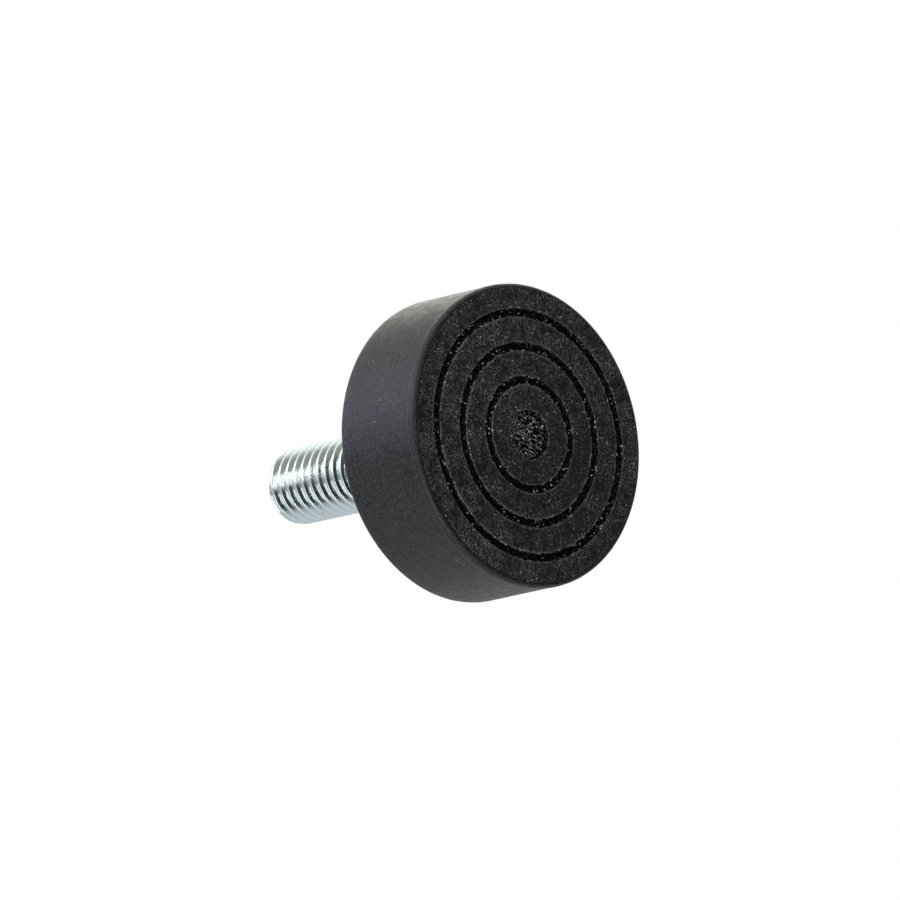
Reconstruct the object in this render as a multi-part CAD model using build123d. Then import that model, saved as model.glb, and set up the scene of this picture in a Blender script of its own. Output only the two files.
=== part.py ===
from build123d import *
import math
import os

# Adjustable foot of a washing machine: a rubber pad moulded round the head of a hex bolt.
# Millimetres. The foot stands on its sole at Z = 0, with the stud pointing up along +Z.

# Steel stud: a fully threaded hex bolt with a coarse metric thread
THREAD_DIAMETER = 10.0
THREAD_PITCH = 1.5
BOLT_LENGTH = 35.0
TIP_CHAMFER = 0.85
HEAD_ACROSS_FLATS = 16.0
HEAD_HEIGHT = 6.4
HEAD_CHAMFER_ANGLE = 30

# Flat circle on the head's end, as a share of its width across flats
HEAD_END_SHARE = 0.95

# What a 60 degree thread's pitch diameter takes off its outer diameter, as a share of the pitch
PITCH_DIAMETER_SHARE = 0.6495

# Rubber pad round the bolt's head
SOLE_DIAMETER = 37.5
SIDE_FLARE = 0.25
RUBBER_UNDER_HEAD = 3.6
RUBBER_OVER_HEAD = 3.5
SOLE_RIM_CHAMFER = 0.4
TOP_RIM_RADIUS = 0.8

# Pattern moulded in the sole: a round recess, then rings of groove with equal lands between them
RECESS_DIAMETER = 6.1
RECESS_DEPTH = 0.55
GROOVE_COUNT = 3
GROOVE_WIDTH = 1.0
GROOVE_DEPTH = 0.8
PATTERN_DRAFT_ANGLE = 9

# Heights worked out from the sizes above
HEAD_BOTTOM = RUBBER_UNDER_HEAD
HEAD_TOP = HEAD_BOTTOM + HEAD_HEIGHT
PAD_TOP = HEAD_TOP + RUBBER_OVER_HEAD
STUD_TIP = HEAD_TOP + BOLT_LENGTH


def bolt_head():
    """Hex head with its lower corners turned off in a cone."""
    corner_radius = HEAD_ACROSS_FLATS / math.sqrt(3)
    end_radius = HEAD_END_SHARE * HEAD_ACROSS_FLATS / 2
    cone_height = (corner_radius - end_radius) * math.tan(math.radians(HEAD_CHAMFER_ANGLE))
    hexagon = Pos(Z=HEAD_BOTTOM) * RegularPolygon(corner_radius, side_count=6)
    turned = Polyline(
        (0, HEAD_BOTTOM),
        (end_radius, HEAD_BOTTOM),
        (corner_radius, HEAD_BOTTOM + cone_height),
        (corner_radius, HEAD_TOP),
        (0, HEAD_TOP),
        close=True,
    )
    blank = revolve(Plane.XZ * make_face(turned), Axis.Z)
    return extrude(hexagon, HEAD_HEIGHT) & blank


def bolt_shank():
    """Shank at the thread's outer size, on a neck at pitch size where rubber fills the thread."""
    outer_radius = THREAD_DIAMETER / 2
    neck_radius = outer_radius - PITCH_DIAMETER_SHARE * THREAD_PITCH / 2
    section = Polyline(
        (0, HEAD_TOP),
        (neck_radius, HEAD_TOP),
        (neck_radius, PAD_TOP),
        (outer_radius, PAD_TOP),
        (outer_radius, STUD_TIP - TIP_CHAMFER),
        (outer_radius - TIP_CHAMFER, STUD_TIP),
        (0, STUD_TIP),
        close=True,
    )
    return revolve(Plane.XZ * make_face(section), Axis.Z)


def draft_run(depth):
    """How far a moulded wall of the sole's pattern leans in over its depth."""
    return depth * math.tan(math.radians(PATTERN_DRAFT_ANGLE))


def groove_radii():
    """Middle radius of each groove, with lands of one width from the recess out to the side wall."""
    recess_radius = RECESS_DIAMETER / 2
    open_width = SOLE_DIAMETER / 2 - recess_radius - GROOVE_COUNT * GROOVE_WIDTH
    land = open_width / (GROOVE_COUNT + 1)
    first = recess_radius + land + GROOVE_WIDTH / 2
    return [first + ring * (land + GROOVE_WIDTH) for ring in range(GROOVE_COUNT)]


def groove_section(radius):
    """One groove across its ring, with drafted walls and a flat floor."""
    mouth = GROOVE_WIDTH / 2
    floor = mouth - draft_run(GROOVE_DEPTH)
    outline = Polyline(
        (radius - mouth, 0),
        (radius + mouth, 0),
        (radius + floor, GROOVE_DEPTH),
        (radius - floor, GROOVE_DEPTH),
        close=True,
    )
    return make_face(outline)


def recess_section():
    """Half of the shallow recess in the middle of the sole, with a drafted wall."""
    mouth = RECESS_DIAMETER / 2
    floor = mouth - draft_run(RECESS_DEPTH)
    outline = Polyline(
        (0, 0),
        (mouth, 0),
        (floor, RECESS_DEPTH),
        (0, RECESS_DEPTH),
        close=True,
    )
    return make_face(outline)


def pad_section():
    """Half section of the pad: a side wall that flares upward, broken rims and the sole's pattern."""
    sole_radius = SOLE_DIAMETER / 2
    outline = Polyline(
        (0, 0),
        (sole_radius, 0),
        (sole_radius + SIDE_FLARE, PAD_TOP),
        (0, PAD_TOP),
        close=True,
    )
    section = make_face(outline)
    section = fillet(section.vertices().sort_by(Axis.X)[-1], TOP_RIM_RADIUS)
    rim_corner = section.vertices().group_by(Axis.Y)[0].sort_by(Axis.X)[-1]
    section = chamfer(rim_corner, SOLE_RIM_CHAMFER)
    section -= recess_section()
    for radius in groove_radii():
        section -= groove_section(radius)
    return section


threaded_stud = bolt_head() + bolt_shank()

# The rubber is bonded to the steel, so the pad's cavity is the stud's own shape
rubber_pad = revolve(Plane.XZ * pad_section(), Axis.Z) - threaded_stud

os.makedirs("parts", exist_ok=True)
for node, solid in (("rubber_pad", rubber_pad), ("threaded_stud", threaded_stud)):
    solid.label = node
    export_step(solid, f"parts/{node}.step")
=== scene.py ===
import math

import bmesh
import bpy
from mathutils import Matrix, Vector, noise


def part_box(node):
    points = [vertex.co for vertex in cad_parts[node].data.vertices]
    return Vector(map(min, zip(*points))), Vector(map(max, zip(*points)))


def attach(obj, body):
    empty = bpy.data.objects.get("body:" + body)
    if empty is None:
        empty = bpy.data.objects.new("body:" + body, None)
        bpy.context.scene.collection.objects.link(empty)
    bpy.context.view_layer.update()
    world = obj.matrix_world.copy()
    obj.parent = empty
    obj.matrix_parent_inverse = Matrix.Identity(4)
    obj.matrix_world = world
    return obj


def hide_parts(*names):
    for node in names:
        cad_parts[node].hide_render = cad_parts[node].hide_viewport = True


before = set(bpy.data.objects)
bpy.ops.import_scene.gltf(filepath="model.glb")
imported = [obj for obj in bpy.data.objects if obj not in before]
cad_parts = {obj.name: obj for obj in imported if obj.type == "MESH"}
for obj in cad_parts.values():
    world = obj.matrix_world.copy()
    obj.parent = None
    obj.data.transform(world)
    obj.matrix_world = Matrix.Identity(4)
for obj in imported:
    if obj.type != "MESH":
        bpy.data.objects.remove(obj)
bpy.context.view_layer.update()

# A washing machine's foot: a grooved rubber pad moulded round the head of a zinc-plated bolt.
# Metres. The foot stands on its sole at Z = 0, with the stud pointing up along +Z.

# Heights and widths read from the frame
PAD_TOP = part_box("rubber_pad")[1].z
HEAD_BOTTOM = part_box("threaded_stud")[0].z
STUD_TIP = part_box("threaded_stud")[1].z
HEAD_FLAT_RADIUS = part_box("threaded_stud")[1].y

# Rubber pad
SOLE_RADIUS = 0.01875
SIDE_FLARE = 0.00024
SOLE_RIM_ROUND = 0.00060
SOLE_RIM_LEAN = 0.00004
PARTING_HEIGHT = 0.00098
PARTING_STEP = 0.00022
PARTING_RISE = 0.00004
PARTING_ROUND = 0.00030
TOP_RIM_ROUND = 0.0008
RECESS_RADIUS = 0.00305
RECESS_DEPTH = 0.00055
RECESS_FINISH_RADIUS = 0.00272
GROOVE_COUNT = 3
GROOVE_WIDTH = 0.0010
GROOVE_DEPTH = 0.0008
PATTERN_DRAFT = math.radians(9)
MOUTH_ROUND = 0.00010
ROOT_ROUND = 0.00018

# Hex bolt with a coarse metric thread
HEAD_HEIGHT = 0.0064
HEAD_SIDES = 6
HEAD_END_SHARE = 0.95
HEAD_CHAMFER = math.radians(30)
NECK_RADIUS = 0.004513
THREAD_PITCH = 0.0015
CREST_RADIUS = 0.00494
ROOT_RADIUS = 0.00414
FLANK_ANGLE = math.radians(33.5)
CREST_WIDTH = 0.00032
CREST_ROUND = 0.00010
THREAD_ROOT_ROUND = 0.00012
THREAD_START_SHARE = 1.77
TIP_CHAMFER = 0.00085
TIP_EDGE_WIDTH = 0.00006
TIP_LIP_WIDTH = 0.00060
TIP_DISH_DEPTH = 0.00020
TIP_DISH_RINGS = 12

# Fineness of the meshes
PAD_SEGMENTS = 384
STUD_SEGMENTS = 144
SPARE_TURNS = 3
THREAD_STEP = 0.00025
ROUND_STEPS = 4
SOLE_STEP = 0.00022
RECESS_STEP = 0.00010
SIDE_STEP = 0.0010

# Moulded roughness that is deep enough to be shape
HOLLOW_ROUGHNESS = 0.00006
HOLLOW_ROUGHNESS_LENGTH = 0.00022
LAND_ROUGHNESS = 0.000006
LAND_ROUGHNESS_LENGTH = 0.00060
MOUTH_WANDER = 0.00022
MOUTH_WANDER_LENGTH = 0.00048
# The edges' weight moves the groove mouths, and marks wear, painted highlight and painted glints there
EDGE_WEAR_AND_HIGHLIGHT_WIDTH = 0.00026
INNER_WEAR_AND_HIGHLIGHT_SHARE = 0.7

# Camera of the photograph: it looks up at the sole, on its side
CAMERA_LENS = 180.0
CAMERA_SENSOR = 36.0
CAMERA_DISTANCE = 0.55768
CAMERA_LOOKS_UP = math.radians(47.121)
CAMERA_ROLL = math.radians(102.758)
CAMERA_AIM_HEIGHT = 0.014521
CAMERA_AIM_RIGHT = -0.000069
CAMERA_AIM_UP = 0.000305
CAMERA_CLIP_SHARE = 0.01

# Specks and grain that the finishes share
SPECK_FADE = 0.7
SPECK_CORE_SHARE = 0.4
SMALLEST_SPECK_SHARE = 0.5
GRAIN_SOFTNESS = 0.6
GRAIN_BROAD_SHARE = 0.3
GRAIN_SPREAD = (0.3, 0.7)
FINE_DETAIL = 3.0
BROAD_DETAIL = 2.0

# Grain, dust and marks of the finishes, and their painted highlights, glints and shade
LAND_SHINE = 0.12
LAND_DULLNESS = (0.5, 0.85)
LAND_BUMP_SHARE = 0.7
LAND_GRAIN_SIZE = 0.00028
LAND_GRAIN_SOFTNESS = 0.75
LAND_GRAIN_DEPTH = 0.00010
LAND_GRAIN_RANGE = (0.38, 0.68)
LAND_GRAIN_FADE = 2.0
LAND_TONE_RANGE = (0.38, 0.62)
LAND_DUST_SPACING = 0.00040
LAND_DUST_SHARE = 0.13
LAND_DUST_SIZE_SHARE = 0.38
FILM_SIZE = 0.0011
FILM_BROAD_SHARE = 0.25
FILM_RANGE = (0.78, 1.22)
# The sole is darker round one place, with fewer pale peaks there
DARKER_PLACE = (-0.006, 0.0035, 0)
DARKER_RADIUS = 0.003
DARKER_FADE = 0.016
DARKER_PEAK_SHARE = 0.58
# White specks at the lands' edges: crumbs, painted bright as glints
CRUMB_AND_GLINT_SPACING = 0.00030
CRUMB_AND_GLINT_SHARE = 0.42
CRUMB_AND_GLINT_SIZE_SHARE = 0.55
HOLLOW_SHINE = 0.02
HOLLOW_DULLNESS = 0.85
HOLLOW_BUMP_SHARE = 0.8
HOLLOW_GRAIN_DEPTH = 0.00012
HOLLOW_GRAIN_RANGE = (0.42, 0.72)
HOLLOW_GRAIN_FADE = 3.0
GLINT_SPACING = 0.00030
GLINT_SIZE_SHARE = 0.72
GLINT_EDGE_SHARE = 0.5
GLINT_DULLNESS = 0.4
GROOVE_GRAIN_SIZE = 0.00018
GROOVE_GRAIN_SOFTNESS = 0.7
GROOVE_GLINT_SHARE = 0.13
STROKE_LENGTH = 0.00050
STROKE_WIDTH = 0.00012
STROKE_TURN = math.radians(139)
STROKE_RANGE = (0.41, 0.69)
RECESS_GLINT_SHARE = 0.14
SIDE_SHINE = 0.32
SIDE_DULLNESS = (0.28, 0.44)
SIDE_BUMP_SHARE = 0.6
SIDE_GRAIN_SIZE = 0.00030
SIDE_GRAIN_SOFTNESS = 0.7
SIDE_GRAIN_DEPTH = 0.00006
SIDE_TONE_RANGE = (0.40, 0.66)
STREAK_LENGTH = 0.004
STREAK_WIDTH = 0.00060
STREAK_RANGE = (0.5, 0.8)
STREAK_SHARE = 0.08
SIDE_DUST_SPACING = 0.00080
SIDE_DUST_SHARE = 0.08
SIDE_DUST_SIZE_SHARE = 0.18
ZINC_DULLNESS = (0.03, 0.13)
ZINC_BUMP_SHARE = 0.5
ZINC_CLOUD_SIZE = 0.00025
ROLL_LENGTH = 0.004
ROLL_WIDTH = 0.00006
ROLL_DEPTH = 0.000025
STAIN_SPACING = 0.0008
STAIN_SHARE = 0.10
STAIN_SIZE_SHARE = 0.5

# Colours
LAND_DARK = (0.003, 0.003, 0.0035)
LAND_PALE = (0.030, 0.030, 0.028)
LAND_PIT = (0.001, 0.001, 0.001)
LAND_PEAK = (0.36, 0.36, 0.34)
# Pale edges of the lands: partly wear, partly painted highlight
EDGE_FILM_AND_HIGHLIGHT = (0.20, 0.20, 0.19)
SIDE_FILM = (0.11, 0.11, 0.105)
# The groove finish, also on the recess's wall, is darkened as painted shade in the hollows
GROOVE_SHADED_PIT = (0.0005, 0.0005, 0.0005)
GROOVE_SHADED_PEAK = (0.22, 0.22, 0.21)
RECESS_PIT = (0.0005, 0.0005, 0.0005)
RECESS_PEAK = (0.55, 0.55, 0.53)
LAND_DUST_COLOUR = (0.55, 0.55, 0.53)
SIDE_DUST_COLOUR = (0.40, 0.40, 0.39)
# White of the specks that are painted as glints
PAINTED_GLINT_COLOUR = (0.98, 0.98, 0.95)
SIDE_DARK = (0.004, 0.0045, 0.006)
SIDE_PALE = (0.032, 0.033, 0.035)
# Zinc in the roots is darker: partly dirt, partly painted shade
ZINC_ROOT_DIRT_AND_SHADE = (0.51, 0.58, 0.57)
ZINC_CREST = (0.80, 0.90, 0.89)
ZINC_STAIN = (0.36, 0.40, 0.40)

# Light, with ways given as right, up and back as the photograph shows them
PLAIN_WHITE = (1.0, 1.0, 1.0)
LIGHT_DISTANCE = 0.45
KEY_WAY = (-0.93, 0.29, -0.22)
KEY_SIZE = 0.28
KEY_ENERGY = 0.26
KEY_COLOUR = (0.60, 0.60, 1.0)
FRONT_WAY = (-0.77, 0.52, 0.36)
FRONT_SIZE = 0.24
FRONT_ENERGY = 0.45
LOW_WAY = (-0.40, -0.55, 0.70)
LOW_SIZE = 0.42
LOW_ENERGY = 0.70
RIM_WAY = (-0.10, 0.35, -0.94)
RIM_SIZE = 0.24
RIM_ENERGY = 0.20
RIM_COLOUR = (1.0, 0.97, 0.90)
LENS_WAY = (0.30, 0.38, 0.85)
LENS_SIZE = 0.20
LENS_ENERGY = 0.19
CARDS_RADIUS = 0.80
CARDS_SEGMENTS = 48
GREY_CARD_WAY = (0, -1, 0)
GREY_CARD_EDGES = (-0.20, 0.10)
GREY_CARD_COLOUR = (0.48, 0.48, 0.48)
DARK_CARD_WAY = (0.80, 0.05, 0.55)
DARK_CARD_EDGES = (0.30, 0.75)
DARK_CARD_COLOUR = (0.04, 0.045, 0.05)
ROOF_CARD_WAY = (0.30, 0.70, 0.65)
ROOF_CARD_EDGES = (0.78, 0.95)
ROOF_CARD_COLOUR = (0.34, 0.34, 0.31)
CREAM_CARD_WAY = (-0.25, 0.42, -0.87)
CREAM_CARD_EDGES = (0.84, 0.97)
CREAM_CARD_COLOUR = (0.77, 0.77, 0.70)
TABLE_CARD_WAY = (0, -1, 0)
TABLE_CARD_EDGES = (0.45, 0.53)
TABLE_CARD_COLOUR = (0.58, 0.61, 0.64)

# Floor
FLOOR_COLOUR = (0.86, 0.86, 0.86)
FLOOR_DROP = 0.00002
FLOOR_RADIUS = 0.9
FLOOR_FADE_START = 0.12
FLOOR_FADE_END = 0.5
FLOOR_SEGMENTS = 96


# Outlines

def rounded_outline(corners):
    """Points along an outline of (across, along, rounding) corners, with each rounding as an arc."""
    points = [Vector(corners[0][:2])]
    for before, corner, after in zip(corners, corners[1:], corners[2:]):
        here = Vector(corner[:2])
        rounding = corner[2]
        into = (here - Vector(before[:2])).normalized()
        out = (Vector(after[:2]) - here).normalized()
        turn = into.angle_signed(out)
        if rounding == 0:
            points.append(here)
            continue
        start = here - into * rounding * math.tan(abs(turn) / 2)
        inward = Vector((into.y, -into.x)) * math.copysign(rounding, turn)
        centre = start + inward
        for step in range(ROUND_STEPS + 1):
            swing = Matrix.Rotation(-turn * step / ROUND_STEPS, 2)
            points.append(centre - swing @ inward)
    points.append(Vector(corners[-1][:2]))
    return points


def divided(points, longest):
    """The same outline with its long runs cut into even steps."""
    result = [points[0]]
    for start, end in zip(points, points[1:]):
        steps = max(1, math.ceil((end - start).length / longest))
        for step in range(1, steps + 1):
            result.append(start.lerp(end, step / steps))
    return result


def groove_radii():
    """Middle radius of each groove, with lands of one width from the recess out to the side wall."""
    open_width = SOLE_RADIUS - RECESS_RADIUS - GROOVE_COUNT * GROOVE_WIDTH
    land = open_width / (GROOVE_COUNT + 1)
    first = RECESS_RADIUS + land + GROOVE_WIDTH / 2
    return [first + ring * (land + GROOVE_WIDTH) for ring in range(GROOVE_COUNT)]


def sole_outline():
    """The sole from its middle out to the rim: recess, lands and grooves."""
    recess_floor = RECESS_RADIUS - RECESS_DEPTH * math.tan(PATTERN_DRAFT)
    mouth = GROOVE_WIDTH / 2
    floor = mouth - GROOVE_DEPTH * math.tan(PATTERN_DRAFT)
    corners = [
        (0, RECESS_DEPTH, 0),
        (recess_floor, RECESS_DEPTH, ROOT_ROUND),
        (RECESS_RADIUS, 0, MOUTH_ROUND),
    ]
    for radius in groove_radii():
        corners += [
            (radius - mouth, 0, MOUTH_ROUND),
            (radius - floor, GROOVE_DEPTH, ROOT_ROUND),
            (radius + floor, GROOVE_DEPTH, ROOT_ROUND),
            (radius + mouth, 0, MOUTH_ROUND),
        ]
    corners += [
        (SOLE_RADIUS - SOLE_RIM_LEAN, 0, SOLE_RIM_ROUND),
        (SOLE_RADIUS + PARTING_RISE, PARTING_HEIGHT, 0),
    ]
    # The last point is on the parting line, where the side's outline goes on
    outline = rounded_outline(corners)[:-1]
    recess_end = next(i for i, point in enumerate(outline) if point.y < RECESS_DEPTH / 2)
    recess = divided(outline[:recess_end], RECESS_STEP)
    return recess + divided(outline[recess_end - 1:], SOLE_STEP)[1:]


def side_outline(start):
    """The parting line, side wall, top rim and top face, from the sole's rim in to the stud."""
    corners = [
        (start.x, start.y, 0),
        (SOLE_RADIUS + PARTING_RISE, PARTING_HEIGHT, PARTING_ROUND),
        (SOLE_RADIUS, PARTING_HEIGHT + PARTING_STEP, PARTING_ROUND),
        (SOLE_RADIUS + SIDE_FLARE, PAD_TOP, TOP_RIM_ROUND),
        (NECK_RADIUS, PAD_TOP, 0),
    ]
    return divided(rounded_outline(corners), SIDE_STEP)


# Round meshes

def hex_radius(angle):
    """Distance from the axis to the bolt head's flats, in a direction round the axis."""
    sixth = math.tau / HEAD_SIDES
    return HEAD_FLAT_RADIUS / math.cos(angle % sixth - sixth / 2)


def head_rings(segments):
    """Rings of points up the bolt's hex head, from its turned end to its bearing face."""
    end_radius = HEAD_END_SHARE * HEAD_FLAT_RADIUS
    corner_radius = hex_radius(0)
    cone_height = (corner_radius - end_radius) * math.tan(HEAD_CHAMFER)
    cone = [(end_radius + (corner_radius - end_radius) * step / ROUND_STEPS,
             HEAD_BOTTOM + cone_height * step / ROUND_STEPS) for step in range(ROUND_STEPS + 1)]
    rings = []
    for limit, height in cone + [(corner_radius, HEAD_BOTTOM + HEAD_HEIGHT)]:
        ring = []
        for segment in range(segments):
            angle = math.tau * segment / segments
            ring.append(on_circle(min(limit, hex_radius(angle)), height, angle))
        rings.append(ring)
    return rings


def on_circle(radius, height, angle):
    return Vector((radius * math.cos(angle), radius * math.sin(angle), height))


def plain_ring(radius, height, segments):
    return [on_circle(radius, height, math.tau * segment / segments) for segment in range(segments)]


def skin_rings(mesh, rings):
    """Joins rings of points with rows of faces. Returns the loops and the rows."""
    loops = [[mesh.verts.new(point) for point in ring] for ring in rings]
    rows = []
    for lower, upper in zip(loops, loops[1:]):
        row = []
        for here in range(len(lower)):
            there = (here + 1) % len(lower)
            row.append(mesh.faces.new((lower[here], lower[there], upper[there], upper[here])))
        rows.append(row)
    return loops, rows


def face_between(mesh, corners):
    """A face, unless its corners fall together to fewer than three."""
    corners = list(dict.fromkeys(corners))
    if len(corners) > 2:
        mesh.faces.new(corners)


def finished_object(name, mesh, node, materials):
    """Makes a smooth object of a mesh that stands for a node and rides with the foot."""
    bmesh.ops.recalc_face_normals(mesh, faces=mesh.faces)
    for face in mesh.faces:
        face.smooth = True
    data = bpy.data.meshes.new(name)
    mesh.to_mesh(data)
    mesh.free()
    for material in materials:
        data.materials.append(material)
    piece = bpy.data.objects.new(name, data)
    bpy.context.scene.collection.objects.link(piece)
    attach(piece, "root")
    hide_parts(node)


# Rubber pad

LAND, GROOVE, RECESS, SIDE = range(4)


def moulded_point(point, angle):
    """A point of the sole as the mould leaves it: a little into the rubber, and sideways at the edges."""
    place = on_circle(point.x, point.y, angle)
    depth_share = min(1, point.y / RECESS_DEPTH)
    floor = HOLLOW_ROUGHNESS * (1 + noise.noise(place / HOLLOW_ROUGHNESS_LENGTH)) / 2
    land = LAND_ROUGHNESS * (1 + noise.noise(place / LAND_ROUGHNESS_LENGTH)) / 2
    rise = land + (floor - land) * depth_share
    wander = MOUTH_WANDER * noise.noise(place / MOUTH_WANDER_LENGTH) * edge_wear_and_highlight(point.x)
    return on_circle(point.x + wander, point.y + rise, angle)


def sole_finish(point):
    """Which finish the sole has outward from a point of its outline."""
    if point.x > SOLE_RADIUS - SOLE_RIM_ROUND:
        return SIDE
    if point.y < MOUTH_ROUND / 2:
        return LAND
    # The recess's wall takes the groove finish, with its painted shade
    return RECESS if point.x < RECESS_FINISH_RADIUS else GROOVE


def edge_wear_and_highlight(radius):
    """How worn the sole is there, and how much painted highlight and glints its edges carry: most at the
    lands' outer edges, less at their inner ones.
    """
    half = GROOVE_WIDTH / 2
    edges = [(middle - half, 1) for middle in groove_radii()]
    edges += [(middle + half, INNER_WEAR_AND_HIGHLIGHT_SHARE) for middle in groove_radii()]
    edges.append((RECESS_RADIUS, INNER_WEAR_AND_HIGHLIGHT_SHARE))
    return max(share * max(0, 1 - abs(radius - edge) / EDGE_WEAR_AND_HIGHLIGHT_WIDTH) for edge, share in edges)


def rubber_pad(materials):
    """The pad with its cavity round the bolt's head and neck."""
    sole = sole_outline()
    side = side_outline(sole[-1])
    rings = []
    for point in sole[1:]:
        angles = [math.tau * segment / PAD_SEGMENTS for segment in range(PAD_SEGMENTS)]
        rings.append([moulded_point(point, angle) for angle in angles])
    rings += [plain_ring(point.x, point.y, PAD_SEGMENTS) for point in side[1:]]
    rings.append(plain_ring(NECK_RADIUS, HEAD_BOTTOM + HEAD_HEIGHT, PAD_SEGMENTS))
    rings += reversed(head_rings(PAD_SEGMENTS))
    mesh = bmesh.new()
    wear_and_highlight = mesh.verts.layers.float.new("edge_wear_and_highlight")
    loops, rows = skin_rings(mesh, rings)
    mesh.faces.new(loops[-1])
    mesh.faces.new(loops[0]).material_index = RECESS
    for point, loop in zip(sole[1:], loops):
        for vert in loop:
            vert[wear_and_highlight] = edge_wear_and_highlight(point.x)
    for index, row in enumerate(rows):
        for face in row:
            face.material_index = sole_finish(sole[index + 1]) if index < len(sole) - 2 else SIDE
    finished_object("grooved_rubber_pad", mesh, "rubber_pad", materials)


# Threaded stud

def thread_outline():
    """One turn of thread along the axis, from crest to crest, as (along, radius) points."""
    crest = CREST_WIDTH / 2
    sharp_root = CREST_RADIUS - (THREAD_PITCH / 2 - crest) / math.tan(FLANK_ANGLE)
    corners = [
        (0, CREST_RADIUS, 0),
        (crest, CREST_RADIUS, CREST_ROUND),
        (THREAD_PITCH / 2, sharp_root, THREAD_ROOT_ROUND),
        (THREAD_PITCH - crest, CREST_RADIUS, CREST_ROUND),
        (THREAD_PITCH, CREST_RADIUS, 0),
    ]
    return divided(rounded_outline(corners), THREAD_STEP)


def thread_radius(turn, along):
    """Radius of the thread at a distance along the axis from the middle of a crest."""
    along = along % THREAD_PITCH
    start, end = next((start, end) for start, end in zip(turn, turn[1:]) if along <= end.x)
    return start.lerp(end, (along - start.x) / (end.x - start.x)).y


def tip_radius(height):
    """Radius of the tip's chamfer at a height."""
    return CREST_RADIUS - TIP_CHAMFER + STUD_TIP - height


def thread_column(mesh, turn, angle, neck):
    """Points up one side of the rod from the neck's own. Those past its ends are one point held there."""
    lift = PAD_TOP + THREAD_PITCH * (angle / math.tau - THREAD_START_SHARE)
    turns = math.ceil((STUD_TIP - PAD_TOP) / THREAD_PITCH) + SPARE_TURNS
    first_radius = thread_radius(turn, PAD_TOP - lift)
    first = neck
    if first_radius > NECK_RADIUS:
        first = mesh.verts.new(on_circle(first_radius, PAD_TOP, angle))
    last_radius = min(thread_radius(turn, STUD_TIP - lift), tip_radius(STUD_TIP))
    last = mesh.verts.new(on_circle(last_radius, STUD_TIP, angle))
    column = []
    for count in range(turns):
        for point in turn[:-1]:
            height = lift + THREAD_PITCH * count + point.x
            if height <= PAD_TOP:
                column.append(first)
            elif height >= STUD_TIP:
                column.append(last)
            else:
                column.append(mesh.verts.new(on_circle(min(point.y, tip_radius(height)), height, angle)))
    return column


def threaded_rod(mesh, neck):
    """A right-hand helix of thread from the neck, at the rubber's top, to the tip."""
    turn = thread_outline()
    columns = []
    for step, corner in enumerate(neck):
        columns.append(thread_column(mesh, turn, math.tau * step / STUD_SEGMENTS, corner))
    for here, column in enumerate(columns):
        there = (here + 1) % STUD_SEGMENTS
        following = columns[there]
        face_between(mesh, (neck[here], neck[there], following[0], column[0]))
        # After one full turn, a row meets the row one pitch further on
        shift = len(turn) - 1 if here == STUD_SEGMENTS - 1 else 0
        for row in range(len(column) - 1 - shift):
            upper = row + shift
            face_between(mesh, (column[row], following[upper], following[upper + 1], column[row + 1]))
    dish_tip(mesh, [column[-1] for column in columns])


def dish_tip(mesh, rim):
    """Closes the tip with a flat lip round a shallow dish, ring by ring."""
    rim_radius = tip_radius(STUD_TIP)
    dish_radius = rim_radius - TIP_LIP_WIDTH
    rings = [(rim_radius - TIP_EDGE_WIDTH, 0)]
    for ring in range(TIP_DISH_RINGS):
        # The dish drops as a parabola
        share = 1 - ring / TIP_DISH_RINGS
        rings.append((share * dish_radius, TIP_DISH_DEPTH * (1 - share ** 2)))
    outer = rim
    for radius, drop in rings:
        inner = [mesh.verts.new(point) for point in plain_ring(radius, STUD_TIP - drop, STUD_SEGMENTS)]
        for here in range(STUD_SEGMENTS):
            mesh.faces.new((outer[here - 1], outer[here], inner[here], inner[here - 1]))
        outer = inner
    mesh.faces.new(outer)


def threaded_stud(materials):
    """The bolt: hex head and neck inside the rubber, threaded rod above it."""
    rings = head_rings(STUD_SEGMENTS)
    for height in (HEAD_BOTTOM + HEAD_HEIGHT, PAD_TOP):
        rings.append(plain_ring(NECK_RADIUS, height, STUD_SEGMENTS))
    mesh = bmesh.new()
    loops, _ = skin_rings(mesh, rings)
    mesh.faces.new(loops[0])
    threaded_rod(mesh, loops[-1])
    finished_object("zinc_threaded_stud", mesh, "threaded_stud", materials)


# Node helpers

def add_node(tree, kind, values=None, **settings):
    """A new node with its settings and the values of its named sockets."""
    node = tree.nodes.new(kind)
    for name, value in settings.items():
        setattr(node, name, value)
    for name, value in (values or {}).items():
        node.inputs[name].default_value = value
    return node


def join(tree, output, socket):
    tree.links.new(output, socket)


def math_node(tree, operation, first, second):
    """A sum, product or other operation of two outputs or numbers."""
    node = add_node(tree, "ShaderNodeMath", operation=operation)
    for socket, value in zip(node.inputs, (first, second)):
        if isinstance(value, (int, float)):
            socket.default_value = value
        else:
            join(tree, value, socket)
    return node.outputs[0]


def map_range(tree, value, low, high, to_low, to_high, smooth=False):
    """A value moved from one range to another and clamped there."""
    node = add_node(tree, "ShaderNodeMapRange", interpolation_type="SMOOTHSTEP" if smooth else "LINEAR")
    for name, number in (("From Min", low), ("From Max", high), ("To Min", to_low), ("To Max", to_high)):
        node.inputs[name].default_value = number
    join(tree, value, node.inputs["Value"])
    return node.outputs["Result"]


def mix_colours(tree, share, first, second):
    """A mix of two colours, each an output or a plain colour, by a share that changes over the surface."""
    node = add_node(tree, "ShaderNodeMix", data_type="RGBA", clamp_factor=True)
    join(tree, share, node.inputs["Factor"])
    for name, colour in (("A", first), ("B", second)):
        socket = next(s for s in node.inputs if s.name == name and s.type == "RGBA")
        if isinstance(colour, tuple):
            socket.default_value = (*colour, 1)
        else:
            join(tree, colour, socket)
    return next(s for s in node.outputs if s.type == "RGBA")


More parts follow.
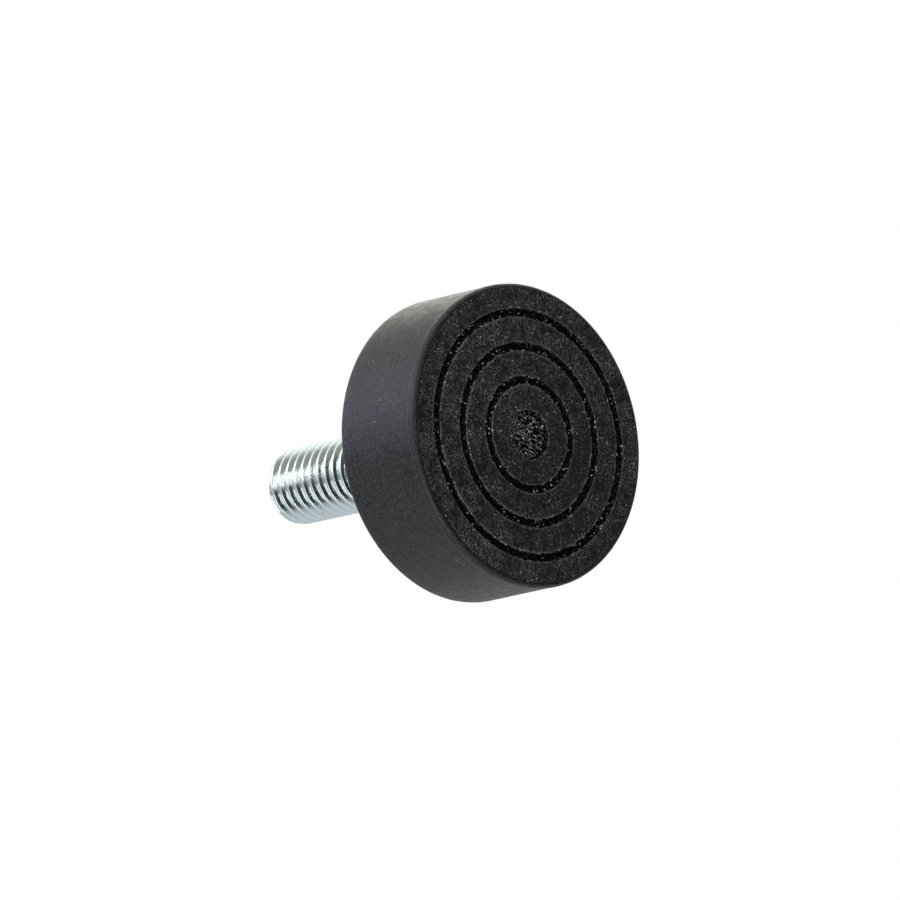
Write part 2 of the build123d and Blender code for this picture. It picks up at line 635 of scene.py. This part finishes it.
def new_group(name, inputs, outputs):
    """A shader node group with number inputs and outputs, and its two end nodes."""
    tree = bpy.data.node_groups.new(name, "ShaderNodeTree")
    for socket, default in inputs.items():
        made = tree.interface.new_socket(socket, in_out="INPUT", socket_type="NodeSocketFloat")
        made.default_value = default
    for socket in outputs:
        tree.interface.new_socket(socket, in_out="OUTPUT", socket_type="NodeSocketFloat")
    return tree, tree.nodes.new("NodeGroupInput"), tree.nodes.new("NodeGroupOutput")


def place_group(tree, group, values):
    """One use of a node group, with its own values."""
    return add_node(tree, "ShaderNodeGroup", values, node_tree=group)


def new_material(name, metallic):
    """A material with one principled shader, and its node tree and shader."""
    material = bpy.data.materials.new(name)
    material.use_nodes = True
    shader = material.node_tree.nodes["Principled BSDF"]
    shader.inputs["Metallic"].default_value = metallic
    return material, material.node_tree, shader


def bump_to(tree, shader, height, distance, strength):
    """Feeds a height to the shader's normal."""
    bump = add_node(tree, "ShaderNodeBump", {"Distance": distance, "Strength": strength})
    join(tree, height, bump.inputs["Height"])
    join(tree, bump.outputs["Normal"], shader.inputs["Normal"])


# Effects that several materials share

def specks_group():
    """Scattered specks: one in some of the cells, each of its own size and strength."""
    inputs = {"Cells": 1 / LAND_DUST_SPACING, "Share": LAND_DUST_SHARE, "Size": LAND_DUST_SIZE_SHARE}
    tree, start, end = new_group("scattered_specks", inputs, ["Mask"])
    place = add_node(tree, "ShaderNodeTexCoord")
    cells = add_node(tree, "ShaderNodeTexVoronoi", feature="F1")
    join(tree, place.outputs["Object"], cells.inputs["Vector"])
    join(tree, start.outputs["Cells"], cells.inputs["Scale"])
    draw = add_node(tree, "ShaderNodeSeparateColor")
    join(tree, cells.outputs["Color"], draw.inputs["Color"])
    chosen = math_node(tree, "LESS_THAN", draw.outputs["Red"], start.outputs["Share"])
    spread = map_range(tree, draw.outputs["Green"], 0, 1, SMALLEST_SPECK_SHARE, 1)
    size = math_node(tree, "MULTIPLY", start.outputs["Size"], spread)
    reach = math_node(tree, "DIVIDE", cells.outputs["Distance"], size)
    inside = map_range(tree, reach, SPECK_CORE_SHARE, 1, 1, 0, smooth=True)
    faded = math_node(tree, "POWER", draw.outputs["Blue"], SPECK_FADE)
    strength = math_node(tree, "MULTIPLY", chosen, faded)
    join(tree, math_node(tree, "MULTIPLY", inside, strength), end.inputs["Mask"])
    return tree


def grain_group():
    """Uneven grain about one half: a fine height and a broader tone."""
    inputs = {"Scale": 1 / LAND_GRAIN_SIZE, "Softness": GRAIN_SOFTNESS, "Broad Share": GRAIN_BROAD_SHARE}
    tree, start, end = new_group("uneven_grain", inputs, ["Height", "Tone"])
    place = add_node(tree, "ShaderNodeTexCoord")
    fine = add_node(tree, "ShaderNodeTexNoise", {"Detail": FINE_DETAIL})
    broad = add_node(tree, "ShaderNodeTexNoise", {"Detail": BROAD_DETAIL})
    broad_scale = math_node(tree, "MULTIPLY", start.outputs["Scale"], start.outputs["Broad Share"])
    for texture, scale in ((fine, start.outputs["Scale"]), (broad, broad_scale)):
        join(tree, place.outputs["Object"], texture.inputs["Vector"])
        join(tree, scale, texture.inputs["Scale"])
        join(tree, start.outputs["Softness"], texture.inputs["Roughness"])
    join(tree, fine.outputs[0], end.inputs["Height"])
    join(tree, broad.outputs[0], end.inputs["Tone"])
    return tree


def streaks_group():
    """Streaks drawn out round the axis, as a mould or a rolling die leaves them."""
    inputs = {"Round": 1 / STREAK_LENGTH, "Along": 1 / STREAK_WIDTH}
    tree, start, end = new_group("drawn_streaks", inputs, ["Tone"])
    place = add_node(tree, "ShaderNodeTexCoord")
    stretch = add_node(tree, "ShaderNodeCombineXYZ")
    for axis, source in (("X", "Round"), ("Y", "Round"), ("Z", "Along")):
        join(tree, start.outputs[source], stretch.inputs[axis])
    drawn = add_node(tree, "ShaderNodeVectorMath", operation="MULTIPLY")
    join(tree, place.outputs["Object"], drawn.inputs[0])
    join(tree, stretch.outputs["Vector"], drawn.inputs[1])
    texture = add_node(tree, "ShaderNodeTexNoise", {"Scale": 1, "Detail": BROAD_DETAIL})
    join(tree, drawn.outputs["Vector"], texture.inputs["Vector"])
    join(tree, texture.outputs[0], end.inputs["Tone"])
    return tree


# Finishes

def standing_out(tree, height, grain_range, fade):
    """A share that is small over most of a grain and large on its peaks."""
    return math_node(tree, "POWER", map_range(tree, height, *grain_range, 0, 1), fade)


def scattered(tree, effects, spacing, share, size):
    """A mask of specks: their spacing, the share of places that have one, and their size as a share."""
    values = {"Cells": 1 / spacing, "Share": share, "Size": size}
    return place_group(tree, effects["specks"], values).outputs["Mask"]


def darker_place(tree):
    """A share of film that is lower round one place on the sole, so that the sole is darker there."""
    place = add_node(tree, "ShaderNodeTexCoord")
    away = add_node(tree, "ShaderNodeVectorMath", operation="DISTANCE")
    join(tree, place.outputs["Object"], away.inputs[0])
    away.inputs[1].default_value = DARKER_PLACE
    return map_range(tree, away.outputs["Value"], DARKER_RADIUS, DARKER_FADE, DARKER_PEAK_SHARE, 1, smooth=True)


def land_rubber(effects):
    """The sole's lands: matte, with a moulded grain, a patchy pale film, specks of dust, pale edges of
    wear and painted highlight, and crumbs painted white as glints.
    """
    material, tree, shader = new_material("land_rubber", 0)
    shader.inputs["Specular IOR Level"].default_value = LAND_SHINE
    grain = place_group(tree, effects["grain"], {
        "Scale": 1 / LAND_GRAIN_SIZE, "Softness": LAND_GRAIN_SOFTNESS})
    film = place_group(tree, effects["grain"], {"Scale": 1 / FILM_SIZE, "Broad Share": FILM_BROAD_SHARE})
    cloud = math_node(tree, "ADD", film.outputs["Height"], film.outputs["Tone"])
    wear_and_highlight = add_node(tree, "ShaderNodeAttribute", attribute_name="edge_wear_and_highlight").outputs["Fac"]
    patches = map_range(tree, cloud, *FILM_RANGE, 0, 1)
    peaks = standing_out(tree, grain.outputs["Height"], LAND_GRAIN_RANGE, LAND_GRAIN_FADE)
    rubbed = math_node(tree, "MULTIPLY", peaks, darker_place(tree))
    tone = map_range(tree, grain.outputs["Height"], *LAND_TONE_RANGE, 0, 1)
    bare = mix_colours(tree, tone, LAND_DARK, LAND_PALE)
    colour = mix_colours(tree, patches, bare, mix_colours(tree, rubbed, LAND_PIT, LAND_PEAK))
    patchy = map_range(tree, film.outputs["Height"], *GRAIN_SPREAD, 0, 1)
    # Pale edge film: partly wear, partly a painted highlight along the groove mouths
    worn_and_highlit = math_node(tree, "MULTIPLY", wear_and_highlight, patchy)
    colour = mix_colours(tree, worn_and_highlit, colour, EDGE_FILM_AND_HIGHLIGHT)
    # Crumbs at the edges, painted white as glints
    crumbs_and_glints = scattered(tree, effects, CRUMB_AND_GLINT_SPACING, CRUMB_AND_GLINT_SHARE, CRUMB_AND_GLINT_SIZE_SHARE)
    caught_crumbs_and_glints = math_node(tree, "MULTIPLY", crumbs_and_glints, wear_and_highlight)
    colour = mix_colours(tree, caught_crumbs_and_glints, colour, PAINTED_GLINT_COLOUR)
    dust = scattered(tree, effects, LAND_DUST_SPACING, LAND_DUST_SHARE, LAND_DUST_SIZE_SHARE)
    colour = mix_colours(tree, dust, colour, LAND_DUST_COLOUR)
    join(tree, colour, shader.inputs["Base Color"])
    dullness = map_range(tree, grain.outputs["Tone"], *GRAIN_SPREAD, *LAND_DULLNESS)
    join(tree, dullness, shader.inputs["Roughness"])
    bump_to(tree, shader, grain.outputs["Height"], LAND_GRAIN_DEPTH, LAND_BUMP_SHARE)
    return material


def hollow_rubber(effects, name, height_of, glint_share, pit, peak):
    """A groove or the recess: coarse and dark, with pale grains painted white as glints; the grooves' dark
    colours are painted shade.
    """
    material, tree, shader = new_material(name, 0)
    shader.inputs["Specular IOR Level"].default_value = HOLLOW_SHINE
    height = height_of(tree, effects)
    glints = scattered(tree, effects, GLINT_SPACING, glint_share, GLINT_SIZE_SHARE)
    peaks = standing_out(tree, height, HOLLOW_GRAIN_RANGE, HOLLOW_GRAIN_FADE)
    # In the grooves the pit and peak colours are darkened as painted shade
    colour = mix_colours(tree, peaks, pit, peak)
    # Pale grains painted white as glints
    colour = mix_colours(tree, glints, colour, PAINTED_GLINT_COLOUR)
    join(tree, colour, shader.inputs["Base Color"])
    dullness = map_range(tree, glints, 0, GLINT_EDGE_SHARE, HOLLOW_DULLNESS, GLINT_DULLNESS)
    join(tree, dullness, shader.inputs["Roughness"])
    bump_to(tree, shader, height, HOLLOW_GRAIN_DEPTH, HOLLOW_BUMP_SHARE)
    return material


def coarse_grain(tree, effects):
    """The even grain of a groove."""
    values = {"Scale": 1 / GROOVE_GRAIN_SIZE, "Softness": GROOVE_GRAIN_SOFTNESS}
    return place_group(tree, effects["grain"], values).outputs["Height"]


def slanted_strokes(tree, effects):
    """The recess's short strokes, all slanted one way across the sole."""
    place = add_node(tree, "ShaderNodeTexCoord")
    values = {"Rotation": (0, 0, STROKE_TURN), "Scale": (STROKE_LENGTH, STROKE_WIDTH, STROKE_WIDTH)}
    turned = add_node(tree, "ShaderNodeMapping", values, vector_type="TEXTURE")
    join(tree, place.outputs["Object"], turned.inputs["Vector"])
    strokes = add_node(tree, "ShaderNodeTexNoise", {"Scale": 1, "Detail": BROAD_DETAIL})
    join(tree, turned.outputs["Vector"], strokes.inputs["Vector"])
    return map_range(tree, strokes.outputs[0], *STROKE_RANGE, 0, 1)


def side_rubber(effects):
    """The side and top: smoother, with a soft sheen, faint streaks round it and a little dust."""
    material, tree, shader = new_material("side_rubber", 0)
    shader.inputs["Specular IOR Level"].default_value = SIDE_SHINE
    grain = place_group(tree, effects["grain"], {
        "Scale": 1 / SIDE_GRAIN_SIZE, "Softness": SIDE_GRAIN_SOFTNESS})
    streaks = place_group(tree, effects["streaks"], {
        "Round": 1 / STREAK_LENGTH, "Along": 1 / STREAK_WIDTH})
    dust = scattered(tree, effects, SIDE_DUST_SPACING, SIDE_DUST_SHARE, SIDE_DUST_SIZE_SHARE)
    tone = map_range(tree, grain.outputs["Height"], *SIDE_TONE_RANGE, 0, 1)
    colour = mix_colours(tree, tone, SIDE_DARK, SIDE_PALE)
    drawn = map_range(tree, streaks.outputs["Tone"], *STREAK_RANGE, 0, STREAK_SHARE)
    colour = mix_colours(tree, drawn, colour, SIDE_FILM)
    colour = mix_colours(tree, dust, colour, SIDE_DUST_COLOUR)
    join(tree, colour, shader.inputs["Base Color"])
    dullness = map_range(tree, grain.outputs["Tone"], *GRAIN_SPREAD, *SIDE_DULLNESS)
    join(tree, dullness, shader.inputs["Roughness"])
    bump_to(tree, shader, grain.outputs["Height"], SIDE_GRAIN_DEPTH, SIDE_BUMP_SHARE)
    return material


def zinc_plate(effects):
    """Bright zinc on rolled thread: bluish white, darker down in the roots with dirt and painted shade,
    with faint stains.
    """
    material, tree, shader = new_material("zinc_plate", 1)
    cloud = place_group(tree, effects["grain"], {"Scale": 1 / ZINC_CLOUD_SIZE})
    rolled = place_group(tree, effects["streaks"], {"Round": 1 / ROLL_LENGTH, "Along": 1 / ROLL_WIDTH})
    stains = scattered(tree, effects, STAIN_SPACING, STAIN_SHARE, STAIN_SIZE_SHARE)
    place = add_node(tree, "ShaderNodeTexCoord")
    flat = add_node(tree, "ShaderNodeVectorMath", operation="MULTIPLY")
    join(tree, place.outputs["Object"], flat.inputs[0])
    flat.inputs[1].default_value = (1, 1, 0)
    reach = add_node(tree, "ShaderNodeVectorMath", operation="LENGTH")
    join(tree, flat.outputs["Vector"], reach.inputs[0])
    # Darker towards the roots: partly dirt, partly painted shade
    crest = map_range(tree, reach.outputs["Value"], ROOT_RADIUS, CREST_RADIUS, 0, 1, smooth=True)
    colour = mix_colours(tree, crest, ZINC_ROOT_DIRT_AND_SHADE, ZINC_CREST)
    colour = mix_colours(tree, stains, colour, ZINC_STAIN)
    join(tree, colour, shader.inputs["Base Color"])
    dullness = map_range(tree, cloud.outputs["Tone"], *GRAIN_SPREAD, *ZINC_DULLNESS)
    join(tree, dullness, shader.inputs["Roughness"])
    uneven = math_node(tree, "ADD", rolled.outputs["Tone"], cloud.outputs["Height"])
    bump_to(tree, shader, uneven, ROLL_DEPTH, ZINC_BUMP_SHARE)
    return material


# Camera

def camera_axes():
    """The camera's right, up and back directions."""
    rise, run = math.sin(CAMERA_LOOKS_UP), math.cos(CAMERA_LOOKS_UP)
    level_right = Vector((1, 0, 0))
    level_up = Vector((0, -rise, run))
    right = level_right * math.cos(CAMERA_ROLL) - level_up * math.sin(CAMERA_ROLL)
    up = level_right * math.sin(CAMERA_ROLL) + level_up * math.cos(CAMERA_ROLL)
    return right, up, Vector((0, -run, -rise))


def photo_way(shares):
    """A direction from its shares of the photograph's right, up and back."""
    return sum((axis * share for axis, share in zip(camera_axes(), shares)), Vector()).normalized()


def place_camera():
    right, up, back = camera_axes()
    aim = Vector((0, 0, CAMERA_AIM_HEIGHT)) + right * CAMERA_AIM_RIGHT + up * CAMERA_AIM_UP
    data = bpy.data.cameras.new("camera")
    data.lens = CAMERA_LENS
    data.sensor_width = CAMERA_SENSOR
    data.clip_start = CAMERA_DISTANCE * CAMERA_CLIP_SHARE
    camera = bpy.data.objects.new("camera", data)
    bpy.context.scene.collection.objects.link(camera)
    turn = Matrix((right, up, back)).transposed().to_4x4()
    camera.matrix_world = Matrix.Translation(aim + back * CAMERA_DISTANCE) @ turn
    bpy.context.scene.camera = camera


# Floor, light and background

def floor_material():
    """A pale floor seen from above, faded out far away and clear from below."""
    material = bpy.data.materials.new("pale_floor")
    material.use_nodes = True
    tree = material.node_tree
    tree.nodes.remove(tree.nodes["Principled BSDF"])
    pale = add_node(tree, "ShaderNodeBsdfDiffuse", {"Color": (*FLOOR_COLOUR, 1)})
    clear = add_node(tree, "ShaderNodeBsdfTransparent")
    geometry = add_node(tree, "ShaderNodeNewGeometry")
    place = add_node(tree, "ShaderNodeTexCoord")
    reach = add_node(tree, "ShaderNodeVectorMath", operation="LENGTH")
    join(tree, place.outputs["Object"], reach.inputs[0])
    near = map_range(tree, reach.outputs["Value"], FLOOR_FADE_START, FLOOR_FADE_END, 1, 0, smooth=True)
    front = math_node(tree, "SUBTRACT", 1, geometry.outputs["Backfacing"])
    mix = add_node(tree, "ShaderNodeMixShader")
    join(tree, math_node(tree, "MULTIPLY", front, near), mix.inputs["Fac"])
    join(tree, clear.outputs["BSDF"], mix.inputs[1])
    join(tree, pale.outputs["BSDF"], mix.inputs[2])
    join(tree, mix.outputs["Shader"], tree.nodes["Material Output"].inputs["Surface"])
    return material


def stage_object(name, mesh, material):
    """An object of the studio, which isn't part of the foot."""
    data = bpy.data.meshes.new(name)
    mesh.to_mesh(data)
    mesh.free()
    data.materials.append(material)
    piece = bpy.data.objects.new(name, data)
    bpy.context.scene.collection.objects.link(piece)
    return piece


def pale_floor():
    """A round floor that takes the foot's shadow and lets light through to the sole."""
    mesh = bmesh.new()
    bmesh.ops.create_circle(mesh, cap_ends=True, segments=FLOOR_SEGMENTS, radius=FLOOR_RADIUS)
    floor = stage_object("floor", mesh, floor_material())
    floor.location.z = -FLOOR_DROP
    floor.visible_diffuse = False
    floor.visible_glossy = False
    floor.visible_transmission = False
    floor.visible_shadow = False


def soft_light(name, way, size, energy, colour):
    """A square soft light on one side, turned to the pad."""
    data = bpy.data.lights.new(name, "AREA")
    data.size = size
    data.energy = energy
    data.color = colour
    lamp = bpy.data.objects.new(name, data)
    bpy.context.scene.collection.objects.link(lamp)
    lamp.location = Vector((0, 0, PAD_TOP)) + photo_way(way) * LIGHT_DISTANCE
    lamp.rotation_euler = (-photo_way(way)).to_track_quat("-Z", "Y").to_euler()
    lamp.visible_camera = False


def cards_material():
    """Soft-edged cards, each over the last: grey below, two dark in front, cream behind, a pale table."""
    material = bpy.data.materials.new("studio_cards")
    material.use_nodes = True
    tree = material.node_tree
    tree.nodes.remove(tree.nodes["Principled BSDF"])
    place = add_node(tree, "ShaderNodeTexCoord")
    outward = add_node(tree, "ShaderNodeVectorMath", operation="NORMALIZE")
    join(tree, place.outputs["Object"], outward.inputs[0])
    room = add_node(tree, "ShaderNodeBsdfTransparent").outputs["BSDF"]
    for way, edges, colour in (
        (GREY_CARD_WAY, GREY_CARD_EDGES, GREY_CARD_COLOUR),
        (DARK_CARD_WAY, DARK_CARD_EDGES, DARK_CARD_COLOUR),
        (ROOF_CARD_WAY, ROOF_CARD_EDGES, ROOF_CARD_COLOUR),
        (CREAM_CARD_WAY, CREAM_CARD_EDGES, CREAM_CARD_COLOUR),
        (TABLE_CARD_WAY, TABLE_CARD_EDGES, TABLE_CARD_COLOUR),
    ):
        facing = add_node(tree, "ShaderNodeVectorMath", operation="DOT_PRODUCT")
        join(tree, outward.outputs["Vector"], facing.inputs[0])
        facing.inputs[1].default_value = photo_way(way)
        share = map_range(tree, facing.outputs["Value"], *edges, 0, 1, smooth=True)
        card = add_node(tree, "ShaderNodeEmission", {"Color": (*colour, 1)})
        mix = add_node(tree, "ShaderNodeMixShader")
        join(tree, share, mix.inputs["Fac"])
        join(tree, room, mix.inputs[1])
        join(tree, card.outputs["Emission"], mix.inputs[2])
        room = mix.outputs["Shader"]
    join(tree, room, tree.nodes["Material Output"].inputs["Surface"])
    return material


def studio_cards():
    """A tent of soft cards round the foot, open to the white room above and hidden from the camera."""
    mesh = bmesh.new()
    bmesh.ops.create_uvsphere(
        mesh, u_segments=CARDS_SEGMENTS, v_segments=CARDS_SEGMENTS, radius=CARDS_RADIUS)
    cards = stage_object("studio_cards", mesh, cards_material())
    cards.visible_camera = False


def white_room():
    world = bpy.data.worlds.new("white_room")
    bpy.context.scene.world = world
    world.use_nodes = True
    world.node_tree.nodes["Background"].inputs["Color"].default_value = (*PLAIN_WHITE, 1)


def light_studio():
    white_room()
    studio_cards()
    soft_light("left_softbox", KEY_WAY, KEY_SIZE, KEY_ENERGY, KEY_COLOUR)
    soft_light("front_softbox", FRONT_WAY, FRONT_SIZE, FRONT_ENERGY, PLAIN_WHITE)
    soft_light("low_softbox", LOW_WAY, LOW_SIZE, LOW_ENERGY, PLAIN_WHITE)
    soft_light("rim_softbox", RIM_WAY, RIM_SIZE, RIM_ENERGY, RIM_COLOUR)
    soft_light("lens_softbox", LENS_WAY, LENS_SIZE, LENS_ENERGY, PLAIN_WHITE)


# The foot in its studio

place_camera()
pale_floor()
light_studio()
EFFECTS = {"specks": specks_group(), "grain": grain_group(), "streaks": streaks_group()}
rubber_pad([
    land_rubber(EFFECTS),
    # The grooves' dark colours are painted shade
    hollow_rubber(EFFECTS, "groove_rubber_painted_shade", coarse_grain, GROOVE_GLINT_SHARE, GROOVE_SHADED_PIT, GROOVE_SHADED_PEAK),
    hollow_rubber(EFFECTS, "recess_rubber", slanted_strokes, RECESS_GLINT_SHARE, RECESS_PIT, RECESS_PEAK),
    side_rubber(EFFECTS),
])
threaded_stud([zinc_plate(EFFECTS)])

bpy.context.scene.view_settings.view_transform = "Standard"
